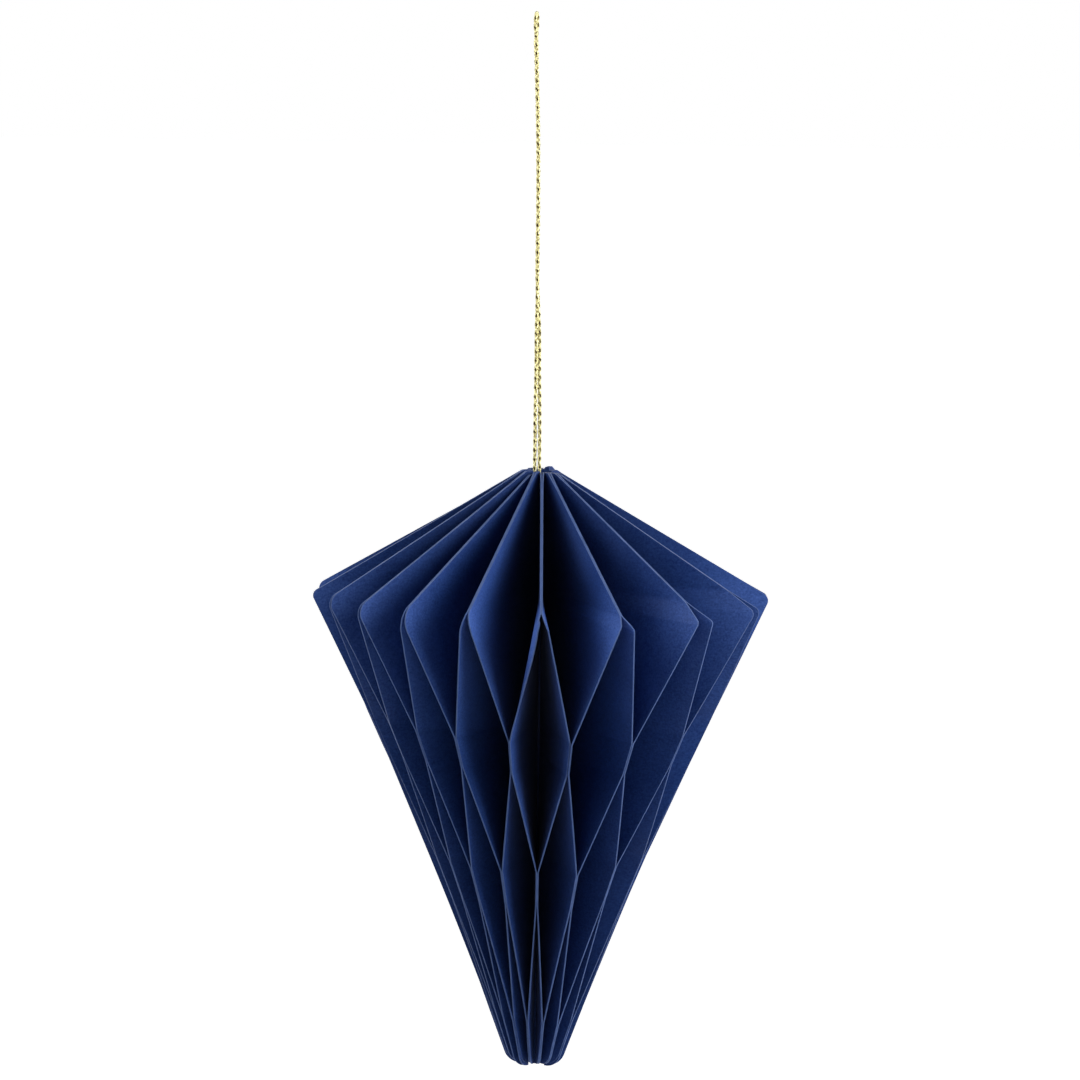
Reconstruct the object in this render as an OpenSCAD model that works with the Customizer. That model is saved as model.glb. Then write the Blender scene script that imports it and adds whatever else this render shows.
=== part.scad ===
// Hanging paper ornament: eighteen folded paper sheets glued into a full ring of
// honeycomb cells, hung on a loop of thin braided metallic cord.
// The origin is the inside of the loop's top, where a hook or twig carries it.
// Z is up, the front is toward -Y, and azimuths turn from the front toward +X.

/* [Body] */
// Height of the paper body, from its flat top to its tip
body_h = 112.4; // [90:0.2:140]
// Radius of the body at its widest level, on the sharpest sheets
body_r = 43; // [34:0.2:52]
// Depth of the widest level below the body's top
shoulder_drop = 23.8; // [19:0.2:29]
// Half width of the flat top
top_r = 3.8; // [3:0.1:5]
// Half width of the body just above the tip
tip_r = 4.9; // [4:0.1:7]
// Radius of the rounded corner at the widest level, on the sharpest sheets
corner_r = 0.8; // [0.6:0.1:3]
// Radius that rounds the tip's edge
tip_corner = 2; // [1:0.1:2.5]
// Hollow of the lower edge below a straight line
edge_sag = 1.4; // [0:0.1:3]

/* [Paper] */
// Thickness of the paper
paper_t = 0.25; // [0.15:0.01:0.3]
// Radius of the hollow core that the folds stand around
core_r = 2.2; // [2:0.05:2.8]
// Slack between the two glued halves of one folded sheet
fold_slack = 0.02; // [0.01:0.01:0.06]

/* [Glue bands] */
// End of the top band, measured up from the widest level
band0_above = 3; // [1:0.1:6]
// Start of the first band that joins neighbours, below the top
band1_start = 46.4; // [42:0.1:50]
// Height of that first band
band1_h = 6; // [3:0.1:8]
// Start of the second band, where the halves of each sheet meet again
band2_start = 72.8; // [66:0.1:76]
// Height of the second band
band2_h = 6.8; // [3:0.1:8]
// Height of the last band at the tip
band3_h = 9; // [4:0.1:12]
// How far a sheet's leaves have parted at the widest level, 1 is fully
corner_part = 0.15; // [0.05:0.01:0.3]

/* [Hanging cord] */
// Diameter of the cord
cord_d = 0.8; // [0.6:0.05:0.85]
// How far the knot inside the core stays clear of the folds round it
knot_gap = 0.3; // [0.25:0.05:0.8]
// Height of the knot
knot_h = 3.6; // [3:0.1:6]

/* [Hidden] */

// Azimuth of each sheet's closed fold, and of the plane that it shares with the next
fold_az = [-84.5, -67.8, -52.8, -37.6, -19.2, 0.3, 22, 45.5, 70.5, 94,
           114.5, 134.5, 155.5, 175.5, 196, 216.5, 236.5, 256.5];
mate_az = [-76, -60.6, -45.6, -29.3, -9.9, 11, 33.3, 57.4, 82.5, 104.5,
           124.5, 145, 165.5, 186, 206, 226.5, 246.5, 266.5];
// What hand work leaves uneven: how far each sheet stands above its neighbours, how much
// rounder its corner is, how wide its leaves have parted there, 1 being usual, and how
// much lower its own bands and the bands it shares start
slip = [0.3, 0.5, 0.3, -0.3, 0.3, 0.1, 0.1, 0, -0.5, -0.4,
        -0.8, -0.1, 0.5, 0.1, -0.1, 0.2, -0.3, -0.2];
rounder = [0.6, 1.6, 1.7, 3, 2.4, 1.4, 0.2, 0, 0.5, 0.5,
           1, 1.5, 1.2, 1.7, 1.3, 1.9, 1.5, 0.8];
loose = [0.4, 0.3, 0.3, 0.35, 0.8, 1.1, 1.1, 1.4, 1, 1,
         0.8, 1.1, 0.6, 0.9, 0.5, 0.8, 1, 0.6];
fold_lag = [0.3, -0.3, -0.4, 0, 0, 0, 0.6, -0.5, -0.6, 0.2,
            -0.3, 0.4, 0, -0.4, 0.3, -0.2, 0.5, 0];
mate_lag = [-0.6, -0.8, -0.5, -0.2, 0, 0.3, 0.7, 0.5, 0, -0.3,
            0.4, 0, -0.5, 0.2, 0.5, -0.2, 0, -0.4];
sheets = len(fold_az);

band0_end = shoulder_drop - band0_above;
band1_end = band1_start + band1_h;
band2_end = band2_start + band2_h;
band3_start = body_h - band3_h;
function mix(a, b, u) = a + (b - a) * u;
function square(x) = x * x;

// Tangents from the flat top (side -1) and from the tip (side 1) to the rounded corner,
// which stands back by half of what it is rounder
function corner(k) = corner_r + rounder[k];
function middle(k) = [body_r - rounder[k] / 2 - corner(k), shoulder_drop];
function tangent(k, p, side) =
    let (v = middle(k) - p, l = norm(v), c = corner(k),
         a = atan2(v[1], v[0]) + side * asin(c / l))
    p + sqrt(l * l - c * c) * [cos(a), sin(a)];
t_up = [for (k = [0:sheets - 1]) tangent(k, [top_r, 0], -1)];
t_low = [for (k = [0:sheets - 1]) tangent(k, [tip_r, body_h], 1)];
function low_line(k, d) =
    let (t = t_low[k], u = (d - t[1]) / (body_h - t[1]))
    mix(t[0], tip_r, u) - edge_sag * 4 * u * (1 - u);
function tip_cut(d) =
    let (e = max(0, d - (body_h - tip_corner)) / tip_corner)
    tip_corner * (1 - sqrt(max(0, 1 - e * e)));
// Radius of sheet k's cut edge at depth d below its own top
function leaf_r(k, d) =
    d < t_up[k][1] ? mix(top_r, t_up[k][0], d / t_up[k][1]) :
    d < t_low[k][1] ? middle(k)[0]
        + sqrt(max(0, square(corner(k)) - square(d - shoulder_drop))) :
    low_line(k, d) - tip_cut(d);

// How far a leaf has swung from its own sheet's fold (0) to the plane that it shares
// with its neighbour (1), at depth d, where its own bands lag by f and the shared ones by m
function bands(f, m) = [band0_end + f, band1_start + m, band1_end + m,
    band2_start + f, band2_end + f, band3_start + m];
function swing(k, d, f, m) =
    let (p = corner_part * loose[k], b = bands(f, m), s = shoulder_drop)
    d <= b[0] ? 0 :
    d < s ? p * (d - b[0]) / (s - b[0]) :
    d < b[1] ? straight(k, d, s, b[1], p, 1) :
    d <= b[2] ? 1 :
    d < b[3] ? straight(k, d, b[2], b[3], 1, 0) :
    d <= b[4] ? 0 :
    d < b[5] ? straight(k, d, b[4], b[5], 0, 1) : 1;
// Between two bands a leaf's cut edge runs straight, from swing p at depth a to q at b
function straight(k, d, a, b, p, q) =
    let (u = (d - a) / (b - a), ra = leaf_r(k, a), rb = leaf_r(k, b))
    ((1 - u) * ra * p + u * rb * q) / ((1 - u) * ra + u * rb);
function before(k) = k == 0 ? sheets - 1 : k - 1;
// The plane that sheet k shares with the one before it
function left_mate(k) = k == 0 ? mate_az[sheets - 1] - 360 : mate_az[k - 1];
// A fold stands at the core, or further out where its wedge is too narrow there for it
function wedge(k) = min(mate_az[k] - fold_az[k], fold_az[k] - left_mate(k));
function fold_r(k) = max(core_r, (paper_t + fold_slack / 2) / sin(wedge(k)) + fold_slack);

// Depths of sheet k's rows of points, from its top to its tip
function steps(a, b, n) = [for (i = [1:n]) mix(a, b, i / n)];
function sorted(v) = len(v) < 2 ? v :
    let (p = v[floor(len(v) / 2)])
    concat(sorted([for (x = v) if (x < p) x]), [p], sorted([for (x = v) if (x > p) x]));
function raw_levels(k) =
    let (u = t_up[k][1], l = t_low[k][1], s = slip[k], f = fold_lag[k],
         b = bands(f, mate_lag[k]), c = bands(f, mate_lag[before(k)]))
    sorted(concat([0, shoulder_drop + s], steps(0, u, 2), steps(u, l, 5), [for (x = b) x + s],
        [for (x = c) x + s], steps(b[0] + s, b[1] + s, 6),
        steps(b[2] + s, b[3] + s, 6), steps(b[4] + s, b[5] + s, 4),
        [for (a = [0, 30, 55, 75, 90]) body_h - tip_corner * (1 - sin(a))]));
function levels(k) =
    let (v = raw_levels(k))
    [for (i = [0:len(v) - 1]) if (i == 0 || v[i] - v[i - 1] > 0.02) v[i]];

// A point at radius r in the plane at azimuth a, moved sideways by off
function spot(r, a, off, z) =
    [r * sin(a) + off * cos(a), -r * cos(a) + off * sin(a), z];

// One level of a folded sheet: down the left leaf, round the fold, out the right leaf
function section(k, d) =
    let (j = before(k), r = leaf_r(k, d), h = d - slip[k], z = -h, t = paper_t,
         sl = swing(k, h, fold_lag[k], mate_lag[j]), sr = swing(k, h, fold_lag[k], mate_lag[k]),
         al = mix(fold_az[k], left_mate(k), sl), ar = mix(fold_az[k], mate_az[k], sr),
         o = t + fold_slack / 2, ol = -o * (1 - sl), or = o * (1 - sr),
         c = fold_r(k), f = c + t)
    [spot(r, al, ol, z), spot(c, al, ol, z),
     spot(c, ar, or, z), spot(r, ar, or, z),
     spot(r, ar, or - t, z), spot(f, ar, or - t, z),
     spot(f, al, ol + t, z), spot(r, al, ol + t, z)];

module sheet(k) {
    depths = levels(k);
    n = len(depths);
    pts = [for (d = depths) each section(k, d)];
    walls = [for (i = [0:n - 2], j = [0:7])
        let (a = 8 * i + j, b = 8 * i + (j + 1) % 8, c = b + 8, e = a + 8)
        each ((j == 2 || j == 6) ? [[a, e, b], [b, e, c]] : [[a, e, c], [a, c, b]])];
    m = 8 * (n - 1);
    caps = [[0, 1, 6, 7], [1, 2, 5, 6], [2, 3, 4, 5],
            [m + 7, m + 6, m + 1, m], [m + 6, m + 5, m + 2, m + 1],
            [m + 5, m + 4, m + 3, m + 2]];
    color([0.16, 0.24, 0.45]) translate([axis_shift, 0, -cord_drop])
        polyhedron(points = pts, faces = concat(walls, caps), convexity = 6);
}

// The cord's points: the body's top below the inside of the loop's top, the body's axis
// beside it, since it hangs a little askew, the knot's flat top, and the route as rows of
// height, middle, and half the distance between its two strands in x and in y. The last
// row is the loop's top.
cord_drop = 85.8;
axis_shift = 2.1;
knot_top = -95;
route = [[-95, 2.1, 0.45, 0], [-91, 1.6, 0.45, 0], [-86, 1.2, 0.43, 0],
         [-79, 1.15, 0.43, 0], [-72, 1.1, 0.38, 0.2], [-66, 1.05, 0.3, 0.3],
         [-60, 1, 0.28, 0.34], [-54, 0.9, 0.1, 0.42], [-48, 0.75, -0.05, 0.45],
         [-36, 0.75, -0.05, 0.45], [-24, 0.6, -0.05, 0.45], [-14, 0.3, -0.05, 0.45],
         [-8, 0.1, -0.08, 0.5], [-5, 0, -0.1, 0.85], [-2.6, 0, 0.15, 1.5],
         [-1, 0, 0.2, 1.6], [0, 0, 0.12, 1.1], [0.4, 0, 0, 0]];
rise = [for (r = route) [r[1] + r[2], r[3], r[0]]];
fall = [for (i = [len(route) - 2:-1:0]) let (r = route[i]) [r[1] - r[2], -r[3], r[0]]];
line = concat(rise, fall);
function at(i) = line[max(0, min(len(line) - 1, i))];
function spline(i, u) =
    let (p = at(i - 1), q = at(i), r = at(i + 1), s = at(i + 2))
    0.5 * (2 * q + (r - p) * u + (2 * p - 5 * q + 4 * r - s) * u * u
        + (3 * q - p - 3 * r + s) * u * u * u);
ring_gap = 3.2 * cord_d;
knot_r = core_r - knot_gap;
cord_pts = concat([at(0)], [for (i = [0:len(line) - 2])
    let (n = max(1, round(norm(at(i + 1) - at(i)) / ring_gap)))
    each [for (j = [1:n]) spline(i, j / n)]]);
function unit(v) = v / norm(v);

module tube(pts, d, sides = 8) {
    n = len(pts);
    function dir(i) = i == 0 ? [0, 0, 1] : i == n - 1 ? [0, 0, -1]
        : unit(pts[i + 1] - pts[i - 1]);
    rings = [for (i = [0:n - 1])
        let (t = dir(i), x = unit([1, 0, 0] - t * t[0]), y = cross(t, x))
        each [for (j = [0:sides - 1]) let (a = 360 * (j + 0.5) / sides)
            pts[i] + d / 2 * (x * cos(a) + y * sin(a))]];
    walls = [for (i = [0:n - 2], j = [0:sides - 1])
        let (a = sides * i + j, b = sides * i + (j + 1) % sides)
        each [[a, a + sides, b + sides], [a, b + sides, b]]];
    ends = [[for (j = [0:sides - 1]) j],
            [for (j = [sides - 1:-1:0]) sides * (n - 1) + j]];
    polyhedron(points = rings, faces = concat(walls, ends), convexity = 4);
}

module hanging_cord() {
    color([0.83, 0.66, 0.22]) tube(cord_pts, cord_d);
}

module cord_knot() {
    flat = 1.1;
    c = knot_r - flat;
    color([0.8, 0.62, 0.2]) translate([axis_shift, 0, knot_top - knot_h])
        rotate_extrude($fn = 32) polygon(concat([[0, 0], [flat, 0]],
            [for (a = [-60:30:60]) [flat + c * cos(a), knot_h / 2 + (knot_h / 2) * sin(a)]],
            [[flat, knot_h], [0, knot_h]]));
}

sheet(0);  // sheet_01
sheet(1);  // sheet_02
sheet(2);  // sheet_03
sheet(3);  // sheet_04
sheet(4);  // sheet_05
sheet(5);  // sheet_06
sheet(6);  // sheet_07
sheet(7);  // sheet_08
sheet(8);  // sheet_09
sheet(9);  // sheet_10
sheet(10);  // sheet_11
sheet(11);  // sheet_12
sheet(12);  // sheet_13
sheet(13);  // sheet_14
sheet(14);  // sheet_15
sheet(15);  // sheet_16
sheet(16);  // sheet_17
sheet(17);  // sheet_18
hanging_cord();
cord_knot();
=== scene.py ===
# A hanging honeycomb ornament of folded navy card on a loop of braided gold cord.
from math import asin, atan2, cos, hypot, pi, radians, sin, sqrt

import bmesh
import bpy
from mathutils import Matrix, Vector


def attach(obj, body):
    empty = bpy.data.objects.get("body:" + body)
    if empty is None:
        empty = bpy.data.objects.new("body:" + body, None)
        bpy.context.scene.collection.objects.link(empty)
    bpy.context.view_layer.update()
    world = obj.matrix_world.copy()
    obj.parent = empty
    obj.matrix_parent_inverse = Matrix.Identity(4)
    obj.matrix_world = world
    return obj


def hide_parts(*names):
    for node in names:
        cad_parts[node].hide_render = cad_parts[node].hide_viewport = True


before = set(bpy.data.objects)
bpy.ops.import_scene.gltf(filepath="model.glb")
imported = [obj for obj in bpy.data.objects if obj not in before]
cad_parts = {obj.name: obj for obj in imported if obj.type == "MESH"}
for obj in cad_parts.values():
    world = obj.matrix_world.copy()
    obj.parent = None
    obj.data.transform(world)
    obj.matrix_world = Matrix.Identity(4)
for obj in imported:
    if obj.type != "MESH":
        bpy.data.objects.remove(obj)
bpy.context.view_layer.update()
MM = 0.001
scene = bpy.context.scene

# The camera stands far off with a long lens, a little above the shoulder. It is rolled,
# because the ornament hangs askew

CAMERA_AT = Vector((1.9, -2500, 280.8)) * MM
# Angles in radians
PITCH = 0.1507
ROLL = 0.0131
# Lens and sensor width in millimetres, and how far the camera sees in metres
LENS, SENSOR = 450, 36
SIGHT = 50


def make_camera():
    data = bpy.data.cameras.new("camera")
    data.lens = LENS
    data.sensor_width = SENSOR
    data.clip_end = SIGHT
    camera = bpy.data.objects.new("camera", data)
    scene.collection.objects.link(camera)
    look = Vector((0, cos(PITCH), -sin(PITCH)))
    level = Vector((1, 0, 0))
    up = level.cross(look)
    right = cos(ROLL) * level + sin(ROLL) * up
    top = cos(ROLL) * up - sin(ROLL) * level
    turn = Matrix((right, top, -look)).transposed().to_4x4()
    camera.matrix_world = Matrix.Translation(CAMERA_AT) @ turn
    scene.camera = camera


make_camera()


# Helpers that build and join shader nodes

def link(tree, output, socket):
    tree.links.new(output, socket)


def feed(tree, value, socket):
    """Link value to a socket, or set the socket to it when it isn't a socket itself."""
    if isinstance(value, bpy.types.NodeSocket):
        link(tree, value, socket)
    else:
        socket.default_value = value


def add_node(tree, kind, **values):
    node = tree.nodes.new(kind)
    for name, value in values.items():
        setattr(node, name, value)
    return node


def ramp(tree, factor, stops):
    node = add_node(tree, "ShaderNodeValToRGB")
    while len(node.color_ramp.elements) < len(stops):
        node.color_ramp.elements.new(0.5)
    for element, (place, colour) in zip(node.color_ramp.elements, stops):
        element.position = place
        element.color = (*colour, 1)
    link(tree, factor, node.inputs["Fac"])
    return node.outputs["Color"]


def mix_colour(tree, factor, a, b, blend="MIX"):
    node = add_node(tree, "ShaderNodeMix", data_type="RGBA", blend_type=blend)
    for socket, value in ((0, factor), (6, a), (7, b)):
        feed(tree, value, node.inputs[socket])
    return node.outputs[2]


def calculate(tree, operation, *values):
    """The result of a Math node on values, each of them a socket or a number."""
    node = add_node(tree, "ShaderNodeMath", operation=operation)
    for socket, value in enumerate(values):
        feed(tree, value, node.inputs[socket])
    return node.outputs[0]


def spread(tree, value, low, high, to_low=0.0, to_high=1.0):
    """Stretch the range from low to high onto the range from to_low to to_high."""
    node = add_node(tree, "ShaderNodeMapRange")
    for socket, number in (("From Min", low), ("From Max", high),
                           ("To Min", to_low), ("To Max", to_high)):
        node.inputs[socket].default_value = number
    link(tree, value, node.inputs["Value"])
    return node.outputs["Result"]


def relief(tree, height, strength, distance):
    node = add_node(tree, "ShaderNodeBump")
    node.inputs["Strength"].default_value = strength
    node.inputs["Distance"].default_value = distance
    link(tree, height, node.inputs["Height"])
    return node.outputs["Normal"]


def noise_texture(tree, vector, scale, detail=3.0, roughness=0.5):
    node = add_node(tree, "ShaderNodeTexNoise")
    node.inputs["Scale"].default_value = scale
    node.inputs["Detail"].default_value = detail
    node.inputs["Roughness"].default_value = roughness
    link(tree, vector, node.inputs["Vector"])
    return node.outputs["Fac"]


def new_material(name, **settings):
    material = bpy.data.materials.new(name)
    material.use_nodes = True
    tree = material.node_tree
    shader = tree.nodes["Principled BSDF"]
    for socket, value in settings.items():
        shader.inputs[socket.replace("_", " ")].default_value = value
    return material, tree, shader


# The card's fibre, in cells per metre: fine grain, worn patches and soft clouds of tone, and
# longer fibres that are finer from top to bottom
GRAIN, PATCHES, CLOUDS = 2500, 420, 90
FIBRES = (900, 900, 3200)
# How strongly fibres and clouds show beside the grain, and the sums that give the darkest
# and the lightest card
FIBRE_SHARE, CLOUD_SHARE = 0.55, 0.5
DARKEST, LIGHTEST = 0.78, 1.26
# The clouds' own range, and the roughness that it gives
CLOUD_RANGE = (0.3, 0.7)
CARD_ROUGHNESS = (0.52, 0.72)
# Spots on the yarn and on the core thread, in cells per metre
YARN_SPOTS, THREAD_SPOTS = 2600, 5200
YARN_ROUGHNESS = (0.28, 0.5)
# Heights of the card's grain and of the yarn's wraps
GRAIN_HEIGHT, WRAP_HEIGHT = 0.02 * MM, 0.03 * MM


def fibre_group():
    """Card fibre: a fine grain, sparse longer fibres and soft clouds of tone."""
    tree = bpy.data.node_groups.new("card_fibre", "ShaderNodeTree")
    face = tree.interface
    face.new_socket("Vector", in_out="INPUT", socket_type="NodeSocketVector")
    face.new_socket("Dark", in_out="INPUT", socket_type="NodeSocketColor")
    face.new_socket("Light", in_out="INPUT", socket_type="NodeSocketColor")
    face.new_socket("Color", in_out="OUTPUT", socket_type="NodeSocketColor")
    face.new_socket("Height", in_out="OUTPUT", socket_type="NodeSocketFloat")
    face.new_socket("Roughness", in_out="OUTPUT", socket_type="NodeSocketFloat")
    inside = add_node(tree, "NodeGroupInput")
    out = add_node(tree, "NodeGroupOutput")
    grain = noise_texture(tree, inside.outputs["Vector"], GRAIN, 4, 0.62)
    stretch = add_node(tree, "ShaderNodeMapping")
    stretch.inputs["Scale"].default_value = FIBRES
    link(tree, inside.outputs["Vector"], stretch.inputs["Vector"])
    fibres = noise_texture(tree, stretch.outputs["Vector"], 1.0, 3, 0.7)
    clouds = noise_texture(tree, inside.outputs["Vector"], CLOUDS, 3, 0.55)
    both = calculate(tree, "MULTIPLY_ADD", fibres, FIBRE_SHARE, grain)
    tone = calculate(tree, "MULTIPLY_ADD", clouds, CLOUD_SHARE, both)
    colour = mix_colour(tree, spread(tree, tone, DARKEST, LIGHTEST),
                        inside.outputs["Dark"], inside.outputs["Light"])
    link(tree, colour, out.inputs["Color"])
    link(tree, both, out.inputs["Height"])
    link(tree, spread(tree, clouds, *CLOUD_RANGE, *CARD_ROUGHNESS), out.inputs["Roughness"])
    return tree


def card_material(name, fibre, dark, light, rubbed, rub_reach=0.1, bump=0.6):
    """Dyed card with painted shade that deepens toward the fold, and paler where its cut
    edges are rubbed.
    """
    material, tree, shader = new_material(
        name, Specular_IOR_Level=0.16, Sheen_Weight=0.04, Sheen_Roughness=0.45)
    shader.inputs["Sheen Tint"].default_value = (0.55, 0.6, 0.8, 1)
    place = add_node(tree, "ShaderNodeTexCoord")
    group = add_node(tree, "ShaderNodeGroup", node_tree=fibre)
    group.inputs["Dark"].default_value = (*dark, 1)
    group.inputs["Light"].default_value = (*light, 1)
    link(tree, place.outputs["Object"], group.inputs["Vector"])
    edge = add_node(tree, "ShaderNodeAttribute", attribute_name="cut")
    patchy = noise_texture(tree, place.outputs["Object"], PATCHES, 3, 0.6)
    near = spread(tree, edge.outputs["Fac"], 1 - rub_reach, 1)
    worn = calculate(tree, "MULTIPLY", near, patchy)
    # Painted shade: the reach attribute darkens the card toward the fold, where the cells
    # lie in shade
    depth = add_node(tree, "ShaderNodeAttribute", attribute_name="reach")
    tone = ramp(tree, depth.outputs["Fac"], PAINTED_SHADE_TONES)
    fibre_with_painted_shade = mix_colour(tree, 1.0, group.outputs["Color"], tone, "MULTIPLY")
    colour = mix_colour(tree, worn, fibre_with_painted_shade, (*rubbed, 1))
    raised = relief(tree, group.outputs["Height"], bump, GRAIN_HEIGHT)
    link(tree, colour, shader.inputs["Base Color"])
    link(tree, group.outputs["Roughness"], shader.inputs["Roughness"])
    link(tree, raised, shader.inputs["Normal"])
    return material


def yarn_material():
    """Gold metallic yarn: bright foil with fine cross wraps and a little tarnish."""
    material, tree, shader = new_material(
        "gold_yarn", Metallic=0.6, Specular_IOR_Level=0.5)
    place = add_node(tree, "ShaderNodeTexCoord")
    spots = noise_texture(tree, place.outputs["Object"], YARN_SPOTS, 2, 0.5)
    colour = ramp(tree, spots, [(0.32, (0.16, 0.12, 0.04)), (0.5, (0.54, 0.49, 0.21)),
                                (0.68, (0.88, 0.85, 0.52))])
    wraps = add_node(tree, "ShaderNodeTexWave", wave_type="BANDS",
                     bands_direction="X")
    wraps.inputs["Scale"].default_value = 1.0
    wraps.inputs["Distortion"].default_value = 0.6
    stripes = add_node(tree, "ShaderNodeUVMap", uv_map="along")
    link(tree, stripes.outputs["UV"], wraps.inputs["Vector"])
    raised = relief(tree, wraps.outputs["Fac"], 0.35, WRAP_HEIGHT)
    link(tree, colour, shader.inputs["Base Color"])
    link(tree, spread(tree, spots, 0, 1, *YARN_ROUGHNESS), shader.inputs["Roughness"])
    link(tree, raised, shader.inputs["Normal"])
    return material


def core_material():
    """The cord's near-black core thread, which shows as dark gaps between the yarns."""
    material, tree, shader = new_material(
        "dark_core_thread", Roughness=0.85, Specular_IOR_Level=0.15)
    place = add_node(tree, "ShaderNodeTexCoord")
    spots = noise_texture(tree, place.outputs["Object"], THREAD_SPOTS, 2, 0.5)
    colour = ramp(tree, spots, [(0.3, (0.022, 0.01, 0.008)), (0.7, (0.08, 0.042, 0.026))])
    link(tree, colour, shader.inputs["Base Color"])
    return material


# How much less painted shade the narrow ends get, as if they reached further out
NARROW_END_SHADE_LIFT = 0.6
# Painted shade, standing in for the shade deep in the cells: how dark the card is painted
# between the fold (0) and the cut edge (1)
PAINTED_SHADE_TONES = [(0.0, (0.06, 0.12, 0.19)), (0.3, (0.1, 0.18, 0.26)),
             (0.7, (0.42, 0.56, 0.66)), (1.0, (1, 1, 1))]

fibre = fibre_group()
CARD = card_material("navy_card", fibre, dark=(0.016, 0.046, 0.19),
                     light=(0.048, 0.104, 0.34), rubbed=(0.07, 0.115, 0.3))
CUT = card_material("card_cut_edge", fibre, dark=(0.022, 0.048, 0.14),
                    light=(0.04, 0.078, 0.2), rubbed=(0.06, 0.1, 0.24))
GOLD = yarn_material()
CORE = core_material()


# The card body: sizes in millimetres, as in the part's own model

# Height, largest radius, and how deep the widest level lies
BODY_H, BODY_R, SHOULDER = 112.4, 43.0, 23.8
# Radius at the top and at the tip, the tip's rounding, and how far a low edge bows inward
TOP_R, TIP_R, TIP_CORNER, EDGE_SAG = 3.8, 4.9, 2.0, 1.4
# Least rounding of a sheet's corner
CORNER_R = 0.8
# The card, the core inside the folds, and the space between a sheet's own two leaves
CARD_T, CORE_R, SLACK = 0.25, 2.2, 0.02
# Glued bands by depth: 0 and 2 close a sheet's own leaves, 1 and 3 join it to its neighbours
BAND0_END = SHOULDER - 3
BAND1 = (46.4, 52.4)
BAND2 = (72.8, 79.6)
BAND3_START = BODY_H - 9
# How far leaves have parted at the corner, as a share of the way to the neighbour
CORNER_PART = 0.15
# How far the body's top lies below the loop's, and how far its axis lies to the right
CORD_DROP, AXIS_SHIFT = 85.8, 2.1

# One value for each sheet: where its fold lies and where it meets the next sheet, in degrees
# from the front, how far it has slipped up, how much rounder its corner is, how loosely its
# leaves hold there, and how low its own bands and its bands to the next sheet lie
FOLD_AZ = [-84.5, -67.8, -52.8, -37.6, -19.2, 0.3, 22, 45.5, 70.5, 94,
           114.5, 134.5, 155.5, 175.5, 196, 216.5, 236.5, 256.5]
MATE_AZ = [-76, -60.6, -45.6, -29.3, -9.9, 11, 33.3, 57.4, 82.5, 104.5,
           124.5, 145, 165.5, 186, 206, 226.5, 246.5, 266.5]
SLIP = [0.3, 0.5, 0.3, -0.3, 0.3, 0.1, 0.1, 0, -0.5, -0.4,
        -0.8, -0.1, 0.5, 0.1, -0.1, 0.2, -0.3, -0.2]
ROUNDER = [0.6, 1.6, 1.7, 3, 2.4, 1.4, 0.2, 0, 0.5, 0.5,
           1, 1.5, 1.2, 1.7, 1.3, 1.9, 1.5, 0.8]
LOOSE = [0.4, 0.3, 0.3, 0.35, 0.8, 1.1, 1.1, 1.4, 1, 1,
         0.8, 1.1, 0.6, 0.9, 0.5, 0.8, 1, 0.6]
FOLD_LAG = [0.3, -0.3, -0.4, 0, 0, 0, 0.6, -0.5, -0.6, 0.2,
            -0.3, 0.4, 0, -0.4, 0.3, -0.2, 0.5, 0]
MATE_LAG = [-0.6, -0.8, -0.5, -0.2, 0, 0.3, 0.7, 0.5, 0, -0.3,
            0.4, 0, -0.5, 0.2, 0.5, -0.2, 0, -0.4]
SHEETS = len(FOLD_AZ)


def mix(a, b, u):
    return a + (b - a) * u


def corner(k):
    """Radius of sheet k's rounded corner, and how far out its middle is."""
    c = CORNER_R + ROUNDER[k]
    return c, BODY_R - ROUNDER[k] / 2 - c


def tangent(k, r, depth, side):
    """Where a line from (r, depth) touches sheet k's rounded corner."""
    c, middle = corner(k)
    dr, dd = middle - r, SHOULDER - depth
    reach = hypot(dr, dd)
    turn = atan2(dd, dr) + side * asin(c / reach)
    run = sqrt(reach * reach - c * c)
    return r + run * cos(turn), depth + run * sin(turn)


UP = [tangent(k, TOP_R, 0, -1) for k in range(SHEETS)]
LOW = [tangent(k, TIP_R, BODY_H, 1) for k in range(SHEETS)]


def leaf_radius(k, d):
    """Radius of sheet k's cut edge at depth d below its own top."""
    (ur, ud), (lr, ld) = UP[k], LOW[k]
    if d < ud:
        return mix(TOP_R, ur, d / ud)
    if d < ld:
        c, middle = corner(k)
        return middle + sqrt(max(0.0, c * c - (d - SHOULDER) ** 2))
    u = (d - ld) / (BODY_H - ld)
    cut = max(0.0, d - (BODY_H - TIP_CORNER)) / TIP_CORNER
    return (mix(lr, TIP_R, u) - EDGE_SAG * 4 * u * (1 - u)
            - TIP_CORNER * (1 - sqrt(max(0.0, 1 - cut * cut))))


def band_levels(fold, mate):
    """Depths where bands end and start, with the lag of own and of shared bands."""
    return (BAND0_END + fold, BAND1[0] + mate, BAND1[1] + mate,
            BAND2[0] + fold, BAND2[1] + fold, BAND3_START + mate)


def straight(k, d, a, b, p, q):
    """Swing at depth d where a cut edge runs straight, from p at depth a to q at b."""
    u = (d - a) / (b - a)
    ra, rb = leaf_radius(k, a), leaf_radius(k, b)
    return ((1 - u) * ra * p + u * rb * q) / ((1 - u) * ra + u * rb)


def swing(k, d, fold, mate):
    """0 where a leaf lies on its own sheet's fold, 1 where it lies on its neighbour."""
    b = band_levels(fold, mate)
    parted = CORNER_PART * LOOSE[k]
    if d <= b[0]:
        return 0.0
    if d < SHOULDER:
        return parted * (d - b[0]) / (SHOULDER - b[0])
    if d < b[1]:
        return straight(k, d, SHOULDER, b[1], parted, 1)
    if d <= b[2]:
        return 1.0
    if d < b[3]:
        return straight(k, d, b[2], b[3], 1, 0)
    if d <= b[4]:
        return 0.0
    if d < b[5]:
        return straight(k, d, b[4], b[5], 0, 1)
    return 1.0


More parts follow.
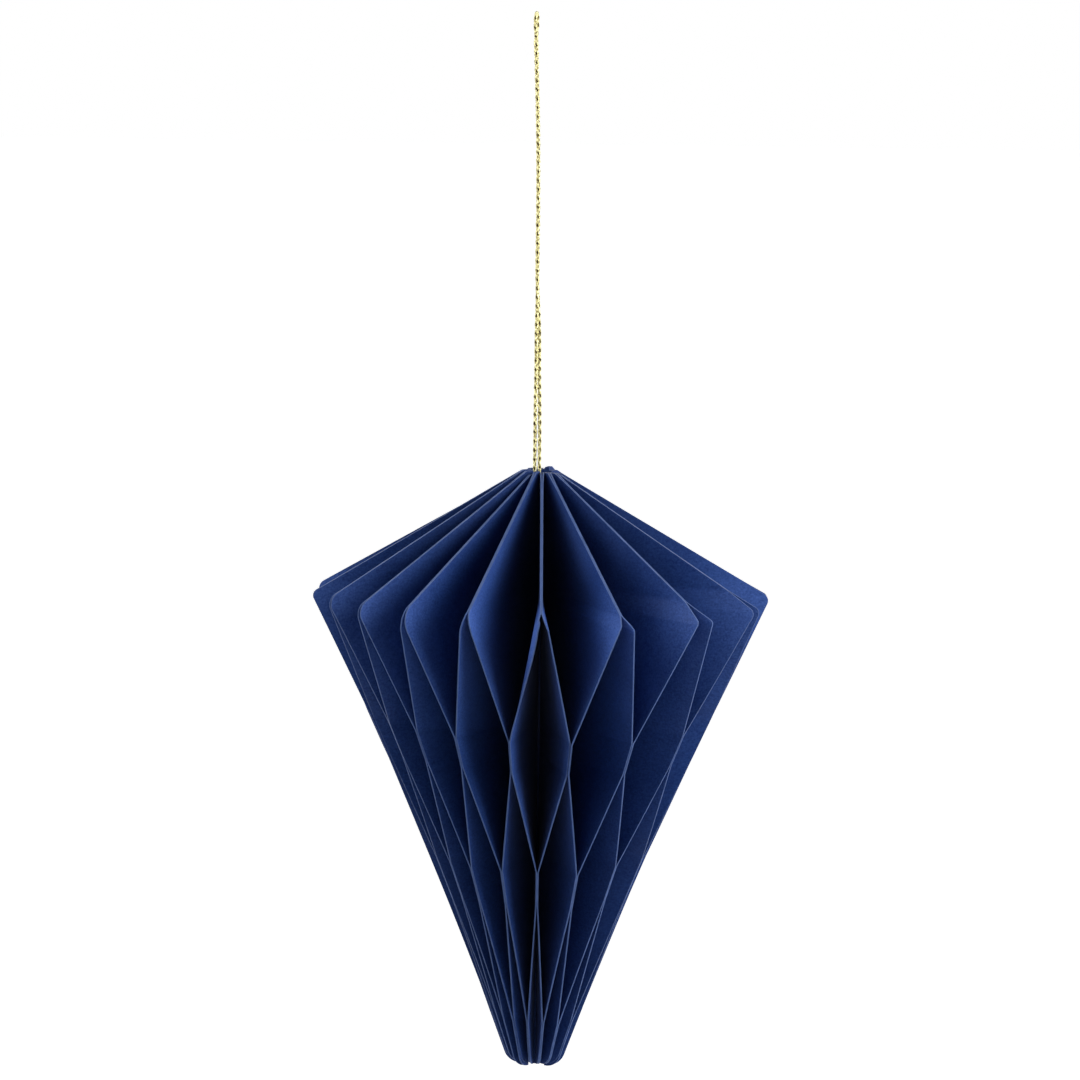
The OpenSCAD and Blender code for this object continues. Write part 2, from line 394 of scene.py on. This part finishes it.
# Rows down a sheet: how many along a parting, an upper cut and a rounded corner, how much
# closer they stand where a parting starts, and the step round the tip in degrees
PART_ROWS, UPPER_ROWS, CORNER_ROWS = 20, 14, 12
PART_CLOSER = 1.3
TIP_STEP = 10
# Least gaps between two rows, and before the last one
ROW_GAP, LAST_GAP = 0.12, 0.05


def depths(k):
    """Levels of a sheet's rows, close together at bands, corners and the tip."""
    rows = {0.0, SHOULDER + SLIP[k], BODY_H}
    for fold, mate in ((FOLD_LAG[k], MATE_LAG[k]), (FOLD_LAG[k], MATE_LAG[k - 1])):
        levels = [x + SLIP[k] for x in band_levels(fold, mate)]
        for i in (0, 2, 4):
            rows.update(mix(levels[i], levels[i + 1], (j / PART_ROWS) ** PART_CLOSER)
                        for j in range(PART_ROWS + 1))
        rows.update(levels)
    rows.update(UP[k][1] * i / UPPER_ROWS for i in range(1, UPPER_ROWS + 1))
    rows.update(mix(UP[k][1], LOW[k][1], i / CORNER_ROWS) for i in range(CORNER_ROWS + 1))
    rows.update(BODY_H - TIP_CORNER * (1 - sin(radians(a))) for a in range(0, 91, TIP_STEP))
    kept = []
    for x in sorted(rows):
        if not kept or x - kept[-1] > ROW_GAP or x == BODY_H:
            kept.append(x)
    if kept[-1] - kept[-2] < LAST_GAP:
        del kept[-2]
    return kept


# Steps across a leaf, how much closer they stand at its cut edge, and steps round the two
# sides of a fold
RADIAL, EDGE_CLOSER = 11, 1.5
FOLD_OUT, FOLD_IN = 4, 3
# Places along a leaf from its fold to its cut edge
ALONG = [1 - (1 - i / RADIAL) ** EDGE_CLOSER for i in range(RADIAL + 1)]
# Stations round one level: name of the face, and how far along it
STATIONS = ([("left_out", u) for u in reversed(ALONG)]
            + [("fold_out", i / FOLD_OUT) for i in range(1, FOLD_OUT)]
            + [("right_out", u) for u in ALONG]
            + [("right_in", u) for u in reversed(ALONG)]
            + [("fold_in", i / FOLD_IN) for i in range(1, FOLD_IN)]
            + [("left_in", u) for u in ALONG])
# The faces of a cut edge lie just after these stations
CUT_COLUMNS = [STATIONS.index((face, ALONG[-1])) for face in ("right_out", "left_in")]


def spot(r, az, off, z):
    """The point at radius r and azimuth az, moved sideways by off, at height z."""
    a = radians(az)
    return Vector((r * sin(a) + off * cos(a) + AXIS_SHIFT,
                   -r * cos(a) + off * sin(a), z - CORD_DROP)) * MM


# The front sheet's left leaf curls to the right along its cut edge, below the place
# where its two leaves part
CURLED = 5
CURL_START = BAND0_END + 1
CURL_END = CURL_START + 22
CURL = 0.85
CURL_REACH = 3.4
# The curl is fullest near its top, and it eases in across the margin
CURL_EARLY, CURL_EASE = 0.5, 1.4


def curl(k, h, edge, along):
    """How far the curled margin stands to the right of its leaf."""
    if k != CURLED or not CURL_START < h < CURL_END:
        return 0.0
    u = ((h - CURL_START) / (CURL_END - CURL_START)) ** CURL_EARLY
    near = max(0.0, 1 - (1 - along) * (edge - CORE_R) / CURL_REACH)
    return CURL * sin(pi * u) * near ** CURL_EASE


# How far a fold bows inward between its leaves, how far out along them its puff reaches,
# and how wide a margin along a cut edge counts as near it
FOLD_BOW = 0.04
PUFF_REACH = 4
CUT_MARGIN = 2


def left_mate(k):
    """Where sheet k meets the sheet on its left, in degrees."""
    return MATE_AZ[k - 1] - (360 if k == 0 else 0)


def fold_puff(k, side):
    """How far a fold is puffed on one side, so that it meets the next sheet's fold."""
    wedge = MATE_AZ[k] - FOLD_AZ[k] if side > 0 else FOLD_AZ[k] - left_mate(k)
    return max(0.0, CORE_R * sin(radians(wedge)) - CARD_T - SLACK / 2)


def sheet_point(k, station, d):
    """A point of folded sheet k: one station of its outline at depth d."""
    face, along = station
    h = d - SLIP[k]
    sl = swing(k, h, FOLD_LAG[k], MATE_LAG[k - 1])
    sr = swing(k, h, FOLD_LAG[k], MATE_LAG[k])
    al, ar = mix(FOLD_AZ[k], left_mate(k), sl), mix(FOLD_AZ[k], MATE_AZ[k], sr)
    outward = CARD_T + SLACK / 2
    ol, o_r = -outward * (1 - sl), outward * (1 - sr)
    inner = CORE_R + CARD_T
    if face == "fold_out":
        wide = mix(-fold_puff(k, -1), fold_puff(k, 1), along) * (1 - (sl + sr) / 2)
        return spot(CORE_R - FOLD_BOW * sin(pi * along), mix(al, ar, along),
                    mix(ol, o_r, along) + wide, -h)
    if face == "fold_in":
        return spot(inner, mix(ar, al, along), mix(o_r - CARD_T, ol + CARD_T, along), -h)
    side = -1 if face.startswith("left") else 1
    az, off, s = (al, ol, sl) if side < 0 else (ar, o_r, sr)
    edge = leaf_radius(k, d)
    start = CORE_R
    if face.endswith("in"):
        off -= side * CARD_T
        start = inner
    if side < 0:
        off += curl(k, h, edge, along)
    near_fold = max(0.0, 1 - along * (edge - CORE_R) / PUFF_REACH)
    off += side * fold_puff(k, side) * (1 - s) * near_fold
    return spot(mix(start, edge, along), az, off, -h)


def numbered_grid(bm, columns, rows):
    """A flat grid, given as the column and row of each of its vertices."""
    grid = bmesh.ops.create_grid(bm, x_segments=columns, y_segments=rows, size=1)
    return {v: (round((v.co.x + 1) / 2 * columns), round((v.co.y + 1) / 2 * rows))
            for v in grid["verts"]}


def close_ends(bm):
    open_edges = [e for e in bm.edges if e.is_boundary]
    return bmesh.ops.holes_fill(bm, edges=open_edges, sides=0)["faces"]


def finish_mesh(bm, name, materials, sharp=0.7):
    """An object with smooth shading, crisp at edges that turn more than sharp radians."""
    for e in bm.edges:
        e.smooth = not (len(e.link_faces) == 2 and e.calc_face_angle(0) > sharp)
    for f in bm.faces:
        f.smooth = True
    mesh = bpy.data.meshes.new(name)
    bm.to_mesh(mesh)
    bm.free()
    for material in materials:
        mesh.materials.append(material)
    obj = bpy.data.objects.new(name, mesh)
    scene.collection.objects.link(obj)
    return obj


def folded_sheet(k):
    """One card sheet, folded at the core into two leaves."""
    rows = depths(k)
    columns, last = len(STATIONS), len(rows) - 1
    bm = bmesh.new()
    cut = bm.verts.layers.float.new("cut")
    # reach: how far out a point lies, which sets the painted shade toward the fold
    reach = bm.verts.layers.float.new("reach")
    places = numbered_grid(bm, columns, last)
    for f in bm.faces:
        f.material_index = 1 if min(places[v][0] for v in f.verts) in CUT_COLUMNS else 0
    for v, (i, j) in places.items():
        depth = rows[last - j]
        v.co = sheet_point(k, STATIONS[i % columns], depth)
        edge = leaf_radius(k, depth)
        r = hypot(v.co.x / MM - AXIS_SHIFT, v.co.y / MM)
        v[cut] = max(0.0, 1 - (edge - r) / CUT_MARGIN)
        # Painted shade: reach runs from 0 at the core to 1 at the widest radius and is
        # raised at the narrow ends
        lift = NARROW_END_SHADE_LIFT * max(0.0, 1 - edge / BODY_R) ** 2
        v[reach] = min(1.0, (r - CORE_R) / (BODY_R - CORE_R) + lift)
    bmesh.ops.remove_doubles(bm, verts=bm.verts, dist=1e-7)
    for f in close_ends(bm):
        f.material_index = 1
    bmesh.ops.recalc_face_normals(bm, faces=bm.faces)
    return finish_mesh(bm, "folded_sheet_%02d" % (k + 1), [CARD, CUT])


# The cord: the route's rows of height, middle, and half the distance between its two
# strands in x and in y, in millimetres

ROUTE = [(-95, 2.1, 0.45, 0), (-91, 1.6, 0.45, 0), (-86, 1.2, 0.43, 0),
         (-79, 1.15, 0.43, 0), (-72, 1.1, 0.38, 0.2), (-66, 1.05, 0.3, 0.3),
         (-60, 1, 0.28, 0.34), (-54, 0.9, 0.1, 0.42), (-48, 0.75, -0.05, 0.45),
         (-36, 0.75, -0.05, 0.45), (-24, 0.6, -0.05, 0.45), (-14, 0.3, -0.05, 0.45),
         (-8, 0.1, -0.08, 0.5), (-5, 0, -0.1, 0.85), (-2.6, 0, 0.15, 1.5),
         (-1, 0, 0.2, 1.6), (0, 0, 0.12, 1.1), (0.4, 0, 0, 0)]
# Step of the cord's line, how often foil wraps a yarn, a yarn's sides, and the radius of the
# core thread
CORD_STEP = 0.14
WRAPS = 3.2
YARN_SIDES = 6
THREAD_R = 0.2


def spline(points, step):
    """A smooth line through points, cut into even steps."""
    line = []
    last = len(points) - 1
    for i in range(last):
        p, q, r, s = (points[max(0, min(last, j))] for j in (i - 1, i, i + 1, i + 2))
        n = max(1, round((r - q).length / step))
        for j in range(n):
            u = j / n
            line.append(0.5 * (2 * q + (r - p) * u + (2 * p - 5 * q + 4 * r - s) * u * u
                               + (3 * q - p - 3 * r + s) * u ** 3))
    line.append(points[last])
    return line


def cord_line():
    rise = [Vector((c + x, y, z)) for z, c, x, y in ROUTE]
    fall = [Vector((c - x, -y, z)) for z, c, x, y in reversed(ROUTE[:-1])]
    return [p * MM for p in spline(rise + fall, CORD_STEP)]


def line_frames(line):
    """Distance along, point and two cross directions for each point of a line."""
    frames, run = [], 0.0
    for i, p in enumerate(line):
        ahead = line[min(i + 1, len(line) - 1)] - line[max(i - 1, 0)]
        ahead.normalize()
        side = Vector((1, 0, 0)) - ahead * ahead.x
        side.normalize()
        if i:
            run += (p - line[i - 1]).length
        frames.append((run, p, side, ahead.cross(side)))
    return frames


def add_yarn(bm, centres, half_w, half_t, index, uv):
    """A flat yarn swept along centres, given as (run, point, out, side)."""
    rows = len(centres) - 1
    before = set(bm.faces)
    places = numbered_grid(bm, YARN_SIDES, rows)
    for f in set(bm.faces) - before:
        f.material_index = index
        for loop in f.loops:
            i, j = places[loop.vert]
            loop[uv].uv = (centres[j][0] / MM * WRAPS, i / YARN_SIDES)
    for v, (i, j) in places.items():
        a = 2 * pi * i / YARN_SIDES
        run, point, out, side = centres[j]
        v.co = point + out * (half_t * cos(a)) + side * (half_w * sin(a))
    seam = [v for v, (i, j) in places.items() if i in (0, YARN_SIDES)]
    bmesh.ops.remove_doubles(bm, verts=seam, dist=1e-8)


def braid(name, line, yarns=4, pitch=3.4, reach=0.235, weave=0.045, half_w=0.21,
          half_t=0.105):
    """A round braid: half the yarns wind one way and half the other, over and under."""
    frames = line_frames(line)
    bm = bmesh.new()
    uv = bm.loops.layers.uv.new("along")
    for y in range(yarns):
        way = 1 if y % 2 else -1
        phase = pi * (y // 2) * 2 / (yarns / 2) + (pi / 4 if way > 0 else 0)
        centres = []
        for run, p, x, z in frames:
            turn = way * 2 * pi * run / (pitch * MM) + phase
            out = x * cos(turn) + z * sin(turn)
            side = z * cos(turn) - x * sin(turn)
            lift = reach + weave * way * cos(2 * turn - way * pi / 4)
            centres.append((run, p + out * lift * MM, out, side))
        add_yarn(bm, centres, half_w * MM, half_t * MM, 0, uv)
    add_yarn(bm, frames[::3] + [frames[-1]], THREAD_R * MM, THREAD_R * MM, 1, uv)
    close_ends(bm)
    bmesh.ops.recalc_face_normals(bm, faces=bm.faces)
    return finish_mesh(bm, name, [GOLD, CORE], 1.2)


line = cord_line()
cord = braid("braided_cord", line)
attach(cord, "root")
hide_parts("hanging_cord")


# The knot: its middle, the size and depth of its loops, and its cord's radius, drawn tight
KNOT_MIDDLE = Vector((AXIS_SHIFT, 0, -96.8)) * MM
KNOT_R, KNOT_LOOP, KNOT_DEPTH = 0.52, 1.35, 0.95
KNOT_CORD_R = 0.42
KNOT_STEPS = 96


def knot_line():
    """A pulled overhand knot: a trefoil small enough for the core."""
    points = []
    for i in range(KNOT_STEPS + 1):
        t = 2 * pi * i / KNOT_STEPS
        points.append(KNOT_MIDDLE + Vector((
            KNOT_R * (sin(t) + KNOT_LOOP * sin(2 * t)),
            KNOT_R * (cos(t) - KNOT_LOOP * cos(2 * t)),
            -KNOT_DEPTH * sin(3 * t))) * MM)
    return points


def tied_knot():
    line = knot_line()
    bm = bmesh.new()
    uv = bm.loops.layers.uv.new("along")
    centres, run = [], 0.0
    for i, p in enumerate(line):
        ahead = (line[(i + 1) % KNOT_STEPS] - line[(i - 1) % KNOT_STEPS]).normalized()
        out = p - KNOT_MIDDLE
        out -= ahead * out.dot(ahead)
        out.normalize()
        if i:
            run += (p - line[i - 1]).length
        centres.append((run, p, out, ahead.cross(out)))
    add_yarn(bm, centres, KNOT_CORD_R * MM, KNOT_CORD_R * MM, 0, uv)
    bmesh.ops.remove_doubles(bm, verts=bm.verts, dist=1e-7)
    bmesh.ops.recalc_face_normals(bm, faces=bm.faces)
    return finish_mesh(bm, "tied_knot", [GOLD], 2.0)


knot = tied_knot()
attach(knot, "root")
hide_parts("cord_knot")

for k in range(SHEETS):
    sheet = folded_sheet(k)
    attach(sheet, "root")
    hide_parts("sheet_%02d" % (k + 1))


# The room: a pale floor, white surroundings and soft lamps

# Soft light from all round, and the white that the floor shows to the eye
SOFT_LIGHT = 0.03
FLOOR_WHITE = 0.96
# Half the floor's width, and how far it lies behind and below the loop's top, in metres
FLOOR_HALF, FLOOR_BACK, FLOOR_BELOW = 6, 2, 1.0


def seen_or_mirrored(tree):
    """1 for camera, glossy and transmission rays, 0 for the rest."""
    path = add_node(tree, "ShaderNodeLightPath")
    shiny = calculate(tree, "MAXIMUM", path.outputs["Is Glossy Ray"],
                      path.outputs["Is Transmission Ray"])
    return calculate(tree, "MAXIMUM", path.outputs["Is Camera Ray"], shiny)


def light_room():
    world = bpy.data.worlds.new("studio")
    scene.world = world
    world.use_nodes = True
    tree = world.node_tree
    tree.nodes.clear()
    soft = add_node(tree, "ShaderNodeBackground")
    soft.inputs["Color"].default_value = (0.94, 0.97, 1, 1)
    soft.inputs["Strength"].default_value = SOFT_LIGHT
    white = add_node(tree, "ShaderNodeBackground")
    white.inputs["Color"].default_value = (1, 1, 1, 1)
    white.inputs["Strength"].default_value = 1.0
    choose = add_node(tree, "ShaderNodeMixShader")
    link(tree, seen_or_mirrored(tree), choose.inputs[0])
    link(tree, soft.outputs[0], choose.inputs[1])
    link(tree, white.outputs[0], choose.inputs[2])
    out = add_node(tree, "ShaderNodeOutputWorld")
    link(tree, choose.outputs[0], out.inputs["Surface"])


def floor():
    bm = bmesh.new()
    bmesh.ops.create_grid(bm, x_segments=2, y_segments=2, size=FLOOR_HALF)
    bmesh.ops.translate(bm, verts=bm.verts, vec=(0, FLOOR_BACK, -FLOOR_BELOW))
    material, tree, shader = new_material("white_floor", Roughness=0.9,
                                          Specular_IOR_Level=0.1)
    shader.inputs["Base Color"].default_value = (0.86, 0.86, 0.86, 1)
    # It shows white to the eye and in gloss, and the shadow stays as a soft grey
    glow = add_node(tree, "ShaderNodeEmission")
    strength = calculate(tree, "MULTIPLY", seen_or_mirrored(tree), FLOOR_WHITE)
    link(tree, strength, glow.inputs["Strength"])
    both = add_node(tree, "ShaderNodeAddShader")
    link(tree, shader.outputs[0], both.inputs[0])
    link(tree, glow.outputs[0], both.inputs[1])
    # Seen from below, the floor lets the ornament show
    under = add_node(tree, "ShaderNodeNewGeometry")
    clear = add_node(tree, "ShaderNodeBsdfTransparent")
    choose = add_node(tree, "ShaderNodeMixShader")
    link(tree, under.outputs["Backfacing"], choose.inputs[0])
    link(tree, both.outputs[0], choose.inputs[1])
    link(tree, clear.outputs[0], choose.inputs[2])
    link(tree, choose.outputs[0], tree.nodes["Material Output"].inputs["Surface"])
    obj = finish_mesh(bm, "floor", [material])


LAMP_AIM = Vector((2, 0, -130)) * MM
# Metres from the body to each lamp
LAMP_AWAY = 2


def lamp(name, azimuth, height, size, power):
    """A soft panel, turned from the front and raised by angles in degrees."""
    a, e = radians(azimuth), radians(height)
    at = LAMP_AIM + LAMP_AWAY * Vector((sin(a) * cos(e), -cos(a) * cos(e), sin(e)))
    data = bpy.data.lights.new(name, "AREA")
    data.shape = "RECTANGLE"
    data.size, data.size_y = size
    data.energy = power
    obj = bpy.data.objects.new(name, data)
    scene.collection.objects.link(obj)
    turn = (LAMP_AIM - at).to_track_quat("-Z", "Y").to_matrix().to_4x4()
    obj.matrix_world = Matrix.Translation(at) @ turn


light_room()
floor()
lamp("right_side", 62, 20, (1.8, 1.6), 52)
lamp("far_right", 88, 15, (2.2, 1.8), 22)
lamp("left_side", -76, 30, (1.6, 1.5), 26)
lamp("upper_left", -86, 52, (1.8, 1.6), 19)
lamp("back_top", 180, 40, (1.6, 1.4), 16)
scene.view_settings.view_transform = "Standard"
